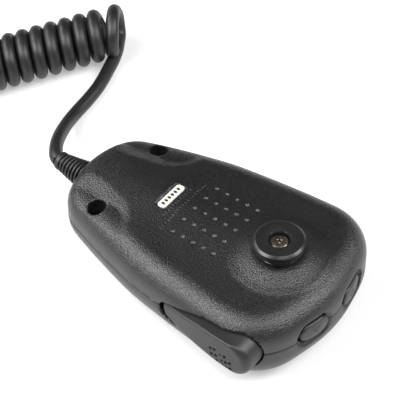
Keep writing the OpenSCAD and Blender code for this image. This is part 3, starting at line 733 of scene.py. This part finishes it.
def frontCoverField(x, y, z):
    s = covers
    plan = coverPlan(x, y)
    outer = coverBody(x, y, z, 0, plan)
    inner = coverBody(x, y, z, s["wall"], plan)
    solid = np.maximum(outer, -inner)
    screw = np.hypot(x - s["screwX"], np.abs(y) - s["screwY"])
    posts = anyOf(np.hypot(x + 14.75, np.abs(y) - 14.5), np.hypot(x - 28.75, y - 14.5))
    cup = np.hypot(x - 12, y)
    inside = anyOf(screw - 3.9, np.maximum(posts - 2.6, z - 14.6), np.maximum(cup - 7.65, z - 9.2))
    solid = np.minimum(solid, np.maximum(inside, outer))
    solid = roundBoth(solid, overJoint(x, z) + s["jointGap"], s["jointEdge"])
    solid = carve(solid, np.maximum(cup - 6.55, s["wall"] - z), 0.2)
    solid = carve(solid, np.maximum(screw - 2.3, 7.5 - z), 0.1)
    slot = np.abs((x - 12 + 1) % 2 - 1) - 0.5
    grille = np.maximum(np.maximum(slot, np.abs(x - 12) - 6.6), np.abs(y) - 6 + np.abs(x - 12) * 0.4)
    solid = carve(solid, np.maximum(grille, z - 3), 0.15)
    solid = carve(solid, leverWindow(x, y, z, 0.5), 0.3)
    well, rim = keyHoles(x, y, z)
    solid = np.where(x > 30, carve(carve(solid, rim, 0.3), well, 0.2), solid)
    return carve(solid, glandHole(x, y, z), 0.2)


def nearDimple(x, y, z):
    return z > 24 and -7 < x < 12.5 and min((x - a) ** 2 + (y - b) ** 2 for a, b in dimpleSpots) < 1.3 ** 2


def nearLabel(x, y, z):
    return z > 23.6 and abs(x - covers["labelX"]) < 3 and abs(y) < 7


def makeCovers(s):
    back = meshField("backShell", backCoverField, (-50, -33.5, 11.6), (50, 33.5, 29.6), s["step"],
                     [(nearDimple, 2), (nearLabel, 1)])
    finishMesh(back, 50)
    dress(addObject("backShell", back), "housing", "shell_black", materials["shell"], "back_cover")
    front = meshField("frontShell", frontCoverField, (-50, -33.5, -1), (50, 33.5, 16.2), s["step"])
    finishMesh(front, 50)
    dress(addObject("frontShell", front), "housing", "shell_black", materials["shell"], "front_cover")
    print("covers have", len(back.polygons), len(front.polygons), "faces")


makeCovers(covers)


# ---- talk lever ----

talkLever = {
    "axis": (36.0, 65.7), "faceRadius": 100.0, "inner": -24.0, "step": 0.4, "topEdge": 0.5, "lowEdge": 2.6,
    "dots": [(26.7, 15.0), (28.3, 15.6), (27.2, 12.7), (28.8, 13.3), (29.2, 11.3), (32.1, 15.1),
             (32.6, 12.9), (34.1, 13.6), (33.0, 10.8), (34.4, 11.3)],
    "faintDots": [(30.6, 14.9), (31.1, 12.6), (31.5, 10.9)],
}


def leverField(x, y, z):
    s = talkLever
    side = leverSide(x, z)
    face = np.hypot(x - s["axis"][0], y - s["axis"][1]) - s["faceRadius"]
    low = np.clip((18.5 - z) / 6, 0, 1)
    edge = s["topEdge"] + (s["lowEdge"] - s["topEdge"]) * low * low * (3 - 2 * low)
    edge = np.minimum(edge, 3.0)
    free = np.clip((x - 33.5) / 4.5, 0, 1)
    block = roundBoth(side, face, edge + (2.4 - edge).clip(0) * free)
    solid = np.maximum(block, y - s["inner"])
    hollow = np.maximum(leverSide(x, z) + 1.8, -29.2 - y)
    solid = np.maximum(solid, -hollow)
    rib = allOf(np.abs(x - 14) - 1, np.abs(z - 12.6) - 1.6, np.abs(y + 25.65) - 5.25)
    barrel = np.maximum(np.hypot(x - 2.5, y + 24.2) - 2.4, np.abs(z - 12.65) - 1.75)
    arm = allOf(np.abs(x - 5.9) - 3.4, np.abs(y + 25.4) - 1.1, np.abs(z - 12.65) - 1.75)
    solid = anyOf(solid, rib, barrel, arm)
    solid = np.maximum(solid, 1.05 - np.hypot(x - 2.5, y + 24.2))
    for spots, radius, depth in ((s["dots"], 0.55, 1.1), (s["faintDots"], 0.4, 0.5)):
        for a, b in spots:
            solid = np.maximum(solid, -np.maximum(np.hypot(x - a, z - b) - radius, -block - depth))
    return solid


def nearDots(x, y, z):
    spots = talkLever["dots"] + talkLever["faintDots"]
    return y < -28 and min((x - a) ** 2 + (z - b) ** 2 for a, b in spots) < 1


leverMesh = meshField("talkLever", leverField, (-1, -35.5, 7.5), (42, -19.5, 23), talkLever["step"],
                      [(nearDots, 2)])
finishMesh(leverMesh, 50)
dress(addObject("talkLever", leverMesh), "ptt", "lever_grey", materials["lever"], "ptt_lever")
print("talk lever has", len(leverMesh.polygons), "faces")


# ---- closed pieces built from rings of points ----

def circleOf(shaped, centre, side, other, radius, count, segments):
    turns = np.arange(count) * 2 * math.pi / segments
    return [shaped.verts.new((centre + (side * math.cos(a) + other * math.sin(a)) * radius) * mm)
            for a in turns]


def joinRings(shaped, rings, closed=False):
    for a, b in zip(rings, rings[1:] + (rings[:1] if closed else [])):
        for k in range(len(a)):
            m = (k + 1) % len(a)
            shaped.faces.new((a[k], a[m], b[m], b[k]))


def closedMesh(name, shaped):
    bmesh.ops.recalc_face_normals(shaped, faces=shaped.faces)
    mesh = bpy.data.meshes.new(name)
    shaped.to_mesh(mesh)
    shaped.free()
    return mesh


# ---- step keys ----

def keyField(x, y, z, side):
    s = keyPlaces
    u, v = y - side * s["side"], z - s["height"]
    cap = np.hypot(x - half + s["capRadius"], y) - s["capRadius"] - 0.3
    dome = cap + 0.35 * (v / 3.2) ** 2 + 0.25 * (u / 5.4) ** 2
    head = np.maximum(roundBoth(obround(u, v, s["length"], s["tall"]), dome, 0.55), 43.1 - x)
    flange = np.maximum(obround(u, v, s["length"] + 2.4, s["tall"] + 2), np.abs(x - 42.65) - 0.5)
    post = np.maximum(np.hypot(u, v) - 1.5, np.abs(x - 41) - 1.15)
    return anyOf(head, flange, post)


def makeKey(name, side, node, body):
    mesh = meshField(name, lambda x, y, z: keyField(x, y, z, side), (39, side * 9.6 - 7.6, 10.6),
                     (50, side * 9.6 + 7.6, 20.8), 0.33)
    finishMesh(mesh, 50)
    dress(addObject(name, mesh), body, "key_black", materials["key"], node)
    # a triangle that points up or down, standing a little proud of the key
    s = keyPlaces
    corners = [(-1.5, -0.95 * side), (1.5, -0.95 * side), (0, 1.35 * side)]
    shaped = bmesh.new()
    rings = []
    for lift in (-0.3, 0.07):
        ring = []
        for a, b in corners:
            y, z = side * s["side"] + a, s["height"] + b
            reach = s["capRadius"] + 0.3 - 0.35 * (b / 3.2) ** 2 + lift
            x = half - s["capRadius"] + math.sqrt(reach ** 2 - y * y)
            ring.append(shaped.verts.new((x * mm, y * mm, z * mm)))
        rings.append(ring)
    shaped.faces.new(rings[1])
    shaped.faces.new(rings[0][::-1])
    joinRings(shaped, rings)
    dress(addObject(name + "Arrow", closedMesh(name + "Arrow", shaped)), body, "key_black", materials["mark"])


makeKey("upKey", 1, "up_button", "up_key")
makeKey("downKey", -1, "down_button", "down_key")
print("keys are made")


# ---- turned pieces ----

def lathe(name, profile, origin, axis, segments=96, sharp=30):
    axis = Vector(axis).normalized()
    side = axis.orthogonal().normalized()
    other = axis.cross(side)
    shaped = bmesh.new()
    rings = []
    for r, h in profile:
        count = 1 if r == 0 else segments
        rings.append(circleOf(shaped, Vector(origin) + axis * h, side, other, r, count, segments))
    closed = profile[0][0] != 0
    pairs = list(zip(rings, rings[1:])) + ([(rings[-1], rings[0])] if closed else [])
    for a, b in pairs:
        for k in range(segments):
            m = (k + 1) % segments
            quad = [a[k % len(a)], a[m % len(a)], b[m % len(b)], b[k % len(b)]]
            corners = list(dict.fromkeys(quad))
            if len(corners) > 2:
                shaped.faces.new(corners)
    mesh = closedMesh(name, shaped)
    finishMesh(mesh, sharp)
    return addObject(name, mesh)


tilt = math.radians(covers["backSlope"])
backUp = (-math.sin(tilt), 0, math.cos(tilt))


def onBack(x):
    return (x, 0, covers["backHeight"] + x * slopeOf)


hangUp = {"radius": 8.0, "thick": 3.0, "rise": 7.0, "bore": 3.4, "boreDepth": 2.6, "neck": 4.6, "washer": 6.5}


def makeHangUp(s):
    seat, top, low = covers["moundHeight"], s["rise"], s["rise"] - s["thick"]
    place = onBack(covers["buttonX"])
    floor, r = top - s["boreDepth"], s["radius"]
    disc = lathe("hangUpDisc", [(1.6, low), (r - 0.55, low), (r - 0.12, low + 0.12), (r, low + 0.45),
                 (r, top - 0.75), (r - 0.08, top - 0.68), (r - 0.62, top - 0.1), (r - 0.75, top - 0.03),
                 (r - 1.0, top), (s["bore"] + 0.28, top), (s["bore"] + 0.08, top - 0.08),
                 (s["bore"], top - 0.3),
                 (s["bore"], floor), (1.6, floor)], place, backUp, 128, 28)
    dress(disc, "housing", "button_black", materials["button"], "hangup_disc")
    neck = lathe("hangUpNeck", [(1.6, seat + 0.5), (s["neck"] - 0.15, seat + 0.5), (s["neck"], seat + 0.7),
                 (s["neck"], low), (1.6, low)], place, backUp, 96)
    dress(neck, "housing", "button_black", materials["button"], "hangup_neck")
    washer = lathe("hangUpWasher", [(1.6, seat), (s["washer"] - 0.05, seat), (s["washer"], seat + 0.12),
                   (s["washer"], seat + 0.38), (s["washer"] - 0.14, seat + 0.5), (1.6, seat + 0.5)],
                   place, backUp, 96)
    dress(washer, "housing", "button_black", materials["button"], "hangup_washer")


makeHangUp(hangUp)


def screwField(shank, length, head, tall, recess):
    def field(x, y, z):
        r = np.hypot(x, y)
        dome = r * r * 0.05
        solid = roundBoth(r - head, np.maximum(z - tall + dome, -z), 0.25)
        solid = np.minimum(solid, np.maximum(r - shank, np.maximum(z - 0.1, -z - length)))
        u, v = np.abs(x), np.abs(y)
        arms = np.minimum(np.maximum(u - 0.36, v - recess), np.maximum(v - 0.36, u - recess))
        arms = np.minimum(arms, (u + v) * 0.7 - 0.62)
        taper = np.maximum(arms + (tall - z) * 0.3, tall - 1.2 - z)
        return carve(solid, taper, 0.06)
    return field


def screwMesh(name, shank, length, head, tall, recess, step=0.2):
    # the shank is plain below the head, with no thread
    low, high = (-head - 0.5, -head - 0.5, -length - 0.5), (head + 0.5, head + 0.5, tall + 0.5)
    mesh = meshField(name, screwField(shank, length, head, tall, recess), low, high, step, settle=4)
    finishMesh(mesh, 40)
    return mesh


def placeCopies(name, mesh, spots, axis, turned, body, slot, material, *replaced):
    up = Vector(axis).normalized()
    shaped = bmesh.new()
    for spot, angle in zip(spots, turned):
        part = mesh.copy()
        spin = Vector((0, 0, 1)).rotation_difference(up).to_matrix().to_4x4()
        turn = Matrix.Rotation(math.radians(angle), 4, "Z")
        part.transform(Matrix.Translation(Vector(spot) * mm) @ spin @ turn)
        shaped.from_mesh(part)
        bpy.data.meshes.remove(part)
    made = bpy.data.meshes.new(name)
    shaped.to_mesh(made)
    shaped.free()
    finishMesh(made, 40)
    return dress(addObject(name, made), body, slot, material, *replaced)


buttonScrew = screwMesh("buttonScrewMesh", 1.45, 11, 2.7, 1.7, 1.75)
spot = Vector(onBack(covers["buttonX"])) + Vector(backUp) * (hangUp["rise"] - hangUp["boreDepth"])
placeCopies("hangUpScrew", buttonScrew, [spot], backUp, [28], "housing", "screw_bronze", materials["bronze"],
            "hangup_screw")
coverScrew = screwMesh("coverScrewMesh", 1.45, 8.6, 2.6, 2.1, 1.6)
spots = [(covers["screwX"], side * covers["screwY"], covers["seat"]) for side in (-1, 1)]
# painted shade: the cover screws get darkened steel for the shade deep in their pockets
placeCopies("coverScrews", coverScrew, spots, (0, 0, 1), [20, 70], "housing", "steel", materials["pocketShadeSteel"],
            "case_screws")
print("screws are made")


# ---- strain relief ----

strainRelief = {"ribs": 7, "length": 12.3, "thick": 4.9, "thin": 3.15, "groove": 0.95, "bend": 0.35}


def makeStrainRelief(s):
    pitch = (s["length"] - 2.2) / s["ribs"]
    rows = [(-4.4, 6.2), (-2.5, 6.2), (-2.5, 4.3), (-0.4, 4.3)]
    for k in range(s["ribs"]):
        start = k * pitch - 0.2
        share = k / s["ribs"]
        outer = s["thick"] - (s["thick"] - s["thin"]) * share
        inner = outer - s["groove"] + 0.25 * share
        rows += [(start + 0.02, inner), (start + pitch * 0.3, inner), (start + pitch * 0.38, outer - 0.3),
                 (start + pitch * 0.46, outer - 0.08), (start + pitch * 0.56, outer),
                 (start + pitch * 0.78, outer - 0.04), (start + pitch * 0.9, outer - 0.16),
                 (start + pitch * 0.97, outer - 0.4)]
    tip = s["length"]
    rows += [(tip - 2.3, s["thin"] - 0.75), (tip - 1.9, s["thin"] - 0.7), (tip - 1.75, s["thin"] - 0.1),
             (tip - 1.5, s["thin"]), (tip - 0.6, s["thin"]), (tip - 0.2, s["thin"] - 0.12),
             (tip, s["thin"] - 0.45), (tip, 1.6), (-4.4, 1.6)]
    shaped = bmesh.new()
    rings, count = [], 64
    for along, radius in rows:
        share = max(0.0, along / s["length"])
        centre = Vector((-half - along + 0.1 * share ** 2, s["bend"] * share ** 2.0, covers["glandHeight"]))
        heading = Vector((-1, 2 * s["bend"] * share / s["length"], 0)).normalized()
        across = Vector((0, 0, 1)).cross(heading)
        rings.append(circleOf(shaped, centre, across, Vector((0, 0, 1)), radius, count, count))
    joinRings(shaped, rings, closed=True)
    mesh = closedMesh("strainRelief", shaped)
    finishMesh(mesh, 45)
    dress(addObject("strainRelief", mesh), "housing", "rubber", materials["bootRubber"], "strain_relief")


makeStrainRelief(strainRelief)
print("strain relief is made")


# ---- label, its print and the raised marks, with Geometry Nodes ----

def nodesTree(name, inputs):
    tree = bpy.data.node_groups.new(name, "GeometryNodeTree")
    tree.interface.new_socket("Geometry", in_out="OUTPUT", socket_type="NodeSocketGeometry")
    ids = {}
    for label, kind in inputs:
        ids[label] = tree.interface.new_socket(label, in_out="INPUT", socket_type=kind).identifier
    return tree, tree.nodes.new("NodeGroupInput"), tree.nodes.new("NodeGroupOutput"), ids


def bakeNodes(name, tree, ids, values, sharp=40):
    holder = addObject(name + "Nodes", bpy.data.meshes.new(name + "Nodes"))
    modifier = holder.modifiers.new("made", "NODES")
    modifier.node_group = tree
    for label, value in values.items():
        modifier[ids[label]] = value
    holder.data.update()
    bpy.context.view_layer.update()
    graph = bpy.context.evaluated_depsgraph_get()
    mesh = bpy.data.meshes.new_from_object(holder.evaluated_get(graph), depsgraph=graph)
    mesh.name = name
    holder.modifiers.remove(modifier)
    bpy.data.objects.remove(holder)
    if sharp:
        finishMesh(mesh, sharp)
    return addObject(name, mesh)


def rowsTree():  # a grid of small rounded bars
    tree, given, put, ids = nodesTree("rowsOfMarks", [("Columns", "NodeSocketInt"), ("Rows", "NodeSocketInt"),
                                      ("Width", "NodeSocketFloat"), ("Depth", "NodeSocketFloat"),
                                      ("Radius", "NodeSocketFloat"), ("Stretch", "NodeSocketVector"),
                                      ("Place", "NodeSocketVector"), ("Turn", "NodeSocketRotation"),
                                      ("Material", "NodeSocketMaterial")])
    new, link = tree.nodes.new, tree.links.new
    grid = new("GeometryNodeMeshGrid")
    link(given.outputs["Width"], grid.inputs["Size X"])
    link(given.outputs["Depth"], grid.inputs["Size Y"])
    link(given.outputs["Columns"], grid.inputs["Vertices X"])
    link(given.outputs["Rows"], grid.inputs["Vertices Y"])
    ball = new("GeometryNodeMeshIcoSphere")
    ball.inputs["Subdivisions"].default_value = 3
    link(given.outputs["Radius"], ball.inputs["Radius"])
    spread = new("GeometryNodeInstanceOnPoints")
    link(grid.outputs["Mesh"], spread.inputs["Points"])
    link(ball.outputs["Mesh"], spread.inputs["Instance"])
    link(given.outputs["Stretch"], spread.inputs["Scale"])
    real = new("GeometryNodeRealizeInstances")
    link(spread.outputs[0], real.inputs[0])
    move = new("GeometryNodeTransform")
    link(real.outputs[0], move.inputs["Geometry"])
    link(given.outputs["Place"], move.inputs["Translation"])
    link(given.outputs["Turn"], move.inputs["Rotation"])
    paint = new("GeometryNodeSetMaterial")
    link(move.outputs[0], paint.inputs[0])
    link(given.outputs["Material"], paint.inputs["Material"])
    link(paint.outputs[0], put.inputs[0])
    return tree, ids


marksTree, marksIds = rowsTree()
labelPlate = {"length": 11.0, "width": 3.0, "corner": 1.0, "rise": 0.1, "dots": 6}


def makeLabel(s):
    x0 = covers["labelX"]
    shaped = bmesh.new()
    rings = []
    for inset, height in ((0, -0.42), (0, s["rise"] - 0.08), (0.08, s["rise"])):
        ring = []
        for quarter, (sx, sy) in enumerate(((1, 1), (-1, 1), (-1, -1), (1, -1))):
            for a in np.radians(np.linspace(0, 90, 9) + 90 * quarter):
                r = s["corner"] - inset
                u = sx * (s["width"] / 2 - s["corner"]) + r * math.cos(a)
                v = sy * (s["length"] / 2 - s["corner"]) + r * math.sin(a)
                level = covers["backHeight"] + (x0 + u) * slopeOf - crownDrop(v)
                ring.append(shaped.verts.new(((x0 + u) * mm, v * mm, (level + height) * mm)))
        rings.append(ring)
    joinRings(shaped, rings)
    # strips across the width keep the top on the crown
    for ring, flip in ((rings[-1], False), (rings[0], True)):
        right, left = ring[-9:] + ring[:9], ring[9:27][::-1]
        for a, b, c, d in zip(right, right[1:], left[1:], left):
            shaped.faces.new((a, b, c, d) if not flip else (d, c, b, a))
    mesh = closedMesh("label", shaped)
    finishMesh(mesh, 30)
    dress(addObject("label", mesh), "housing", "label_cream", materials["label"], "label_plate")
    top = covers["backHeight"] + x0 * slopeOf + s["rise"]
    dots = bakeNodes("labelDots", marksTree, marksIds, {"Columns": 1, "Rows": s["dots"], "Width": 0.0,
                     "Depth": 7.6 * mm, "Radius": 0.6 * mm, "Stretch": (1.1, 0.8, 0.2),
                     "Place": (x0 * mm, -0.2 * mm, (top - 0.12) * mm), "Material": materials["print"]})
    return dress(dots, "housing", "label_cream", None)


makeLabel(labelPlate)


def makeRaisedMarks():
    rows = (("raisedMarksShort", 3.1, 13.2, 12), ("raisedMarksLong", 5.4, 22.4, 19))
    for name, past, length, count in rows:
        x = covers["labelX"] + past
        height = covers["backHeight"] + x * slopeOf
        marks = bakeNodes(name, marksTree, marksIds, {"Columns": 1, "Rows": count, "Width": 0.0,
                          "Depth": length * mm, "Radius": 0.36 * mm, "Stretch": (1.5, 0.85, 0.5),
                          "Place": (x * mm, -0.8 * mm, height * mm), "Material": materials["shell"]}, sharp=0)
        for v in marks.data.vertices:  # follow the crown
            v.co.z -= crownDrop(v.co.y / mm) * mm + 0.06 * mm
        marks.data.shade_smooth()
        dress(marks, "housing", "shell_black", None)


makeRaisedMarks()
print("label and marks are made")


# ---- plug ----

plug = {"place": (-153.0, 17.0, 9.5), "heading": 240.0}
plugWay = Vector((math.cos(math.radians(plug["heading"])), math.sin(math.radians(plug["heading"])), 0))


def makePlug():
    place = plug["place"]
    outline = [(1.9, 0.1), (2.75, 0), (3.05, 0.15), (3.25, 0.5), (3.4, 1.4), (4.2, 4.6), (4.75, 7.4),
               (4.95, 8.6), (4.97, 9.0), (1.9, 9.0)]
    boot = lathe("plugBoot", outline, place, plugWay, 64)
    dress(boot, "housing", "rubber", materials["bootRubber"], "plug_boot")
    outline = [(0, 9.0), (6.4, 9.0), (6.62, 9.08), (7.02, 9.5), (7.1, 9.8), (7.1, 13.9), (6.85, 14.0),
               (6.85, 14.5), (7.1, 14.6), (7.1, 21.3), (7.4, 21.8), (7.4, 34), (6.5, 34), (6.5, 25), (0, 25)]
    shell = lathe("plugShell", outline, place, plugWay, 96)
    dress(shell, "housing", "chrome", materials["nickel"], "plug_shell")


makePlug()


def ringTree():  # ridges round a ring
    inputs = [("Count", "NodeSocketInt"), ("Radius", "NodeSocketFloat"), ("Ridge", "NodeSocketFloat"),
              ("Length", "NodeSocketFloat"), ("Material", "NodeSocketMaterial")]
    tree, given, put, ids = nodesTree("ridgedRing", inputs)
    new, link = tree.nodes.new, tree.links.new
    circle = new("GeometryNodeMeshCircle")
    link(given.outputs["Count"], circle.inputs["Vertices"])
    link(given.outputs["Radius"], circle.inputs["Radius"])
    bar = new("GeometryNodeMeshCylinder")
    bar.inputs["Vertices"].default_value = 10
    link(given.outputs["Ridge"], bar.inputs["Radius"])
    link(given.outputs["Length"], bar.inputs["Depth"])
    spread = new("GeometryNodeInstanceOnPoints")
    link(circle.outputs["Mesh"], spread.inputs["Points"])
    link(bar.outputs["Mesh"], spread.inputs["Instance"])
    real = new("GeometryNodeRealizeInstances")
    link(spread.outputs[0], real.inputs[0])
    paint = new("GeometryNodeSetMaterial")
    link(real.outputs[0], paint.inputs[0])
    link(given.outputs["Material"], paint.inputs["Material"])
    link(paint.outputs[0], put.inputs[0])
    return tree, ids


def makeCouplingRing():
    place = plug["place"]
    outline = [(7.55, 22.4), (8.6, 22.4), (8.85, 22.55), (8.95, 22.9), (8.95, 35.2), (8.8, 35.75),
               (8.5, 36), (8.15, 36), (8.15, 30.4), (7.55, 30.4)]
    ring = lathe("couplingRing", outline, place, plugWay, 96)
    dress(ring, "ring", "chrome", materials["nickel"], "coupling_ring")
    tree, ids = ringTree()
    ridges = bakeNodes("couplingRidges", tree, ids, {"Count": 36, "Radius": 8.9 * mm, "Ridge": 0.48 * mm,
                       "Length": 7.4 * mm, "Material": materials["nickel"]}, 40)
    turnTo = Vector((0, 0, 1)).rotation_difference(plugWay).to_matrix().to_4x4()
    ridges.data.transform(turnTo)
    for v in ridges.data.vertices:
        v.co += (Vector(place) + plugWay * 29.0) * mm
    ridges.data.update()
    dress(ridges, "ring", "chrome", None)


makeCouplingRing()
print("plug is made")


# ---- the rest of the nodes keep their CAD shape and get a finish ----

inside = {
    "steel": ["ptt_pivot_pin", "ptt_return_spring", "board_screws", "cord_clamp", "clamp_screws",
              "plug_clamp", "plug_clamp_screws"],
    "brass": ["case_inserts", "hangup_insert", "plug_pins"],
    "switch": ["ptt_switch", "up_switch", "down_switch"],
    "stem": ["ptt_plunger", "up_switch_stem", "down_switch_stem"],
    "board": ["key_board", "main_board"],
    "chip": ["audio_chips"],
    "capacitor": ["board_capacitors"],
    "header": ["wire_header"],
    "can": ["mic_capsule"],
    "bootRubber": ["capsule_boot"],
    "cloth": ["acoustic_cloth"],
    "rubber": ["cord_stub"],
    "wire": ["inner_wires"],
    "insulator": ["plug_insert"],
}
for finish, names in inside.items():
    for name in names:
        nodes[name].data.materials.clear()
        nodes[name].data.materials.append(materials[finish])
print("inner pieces have their finishes")
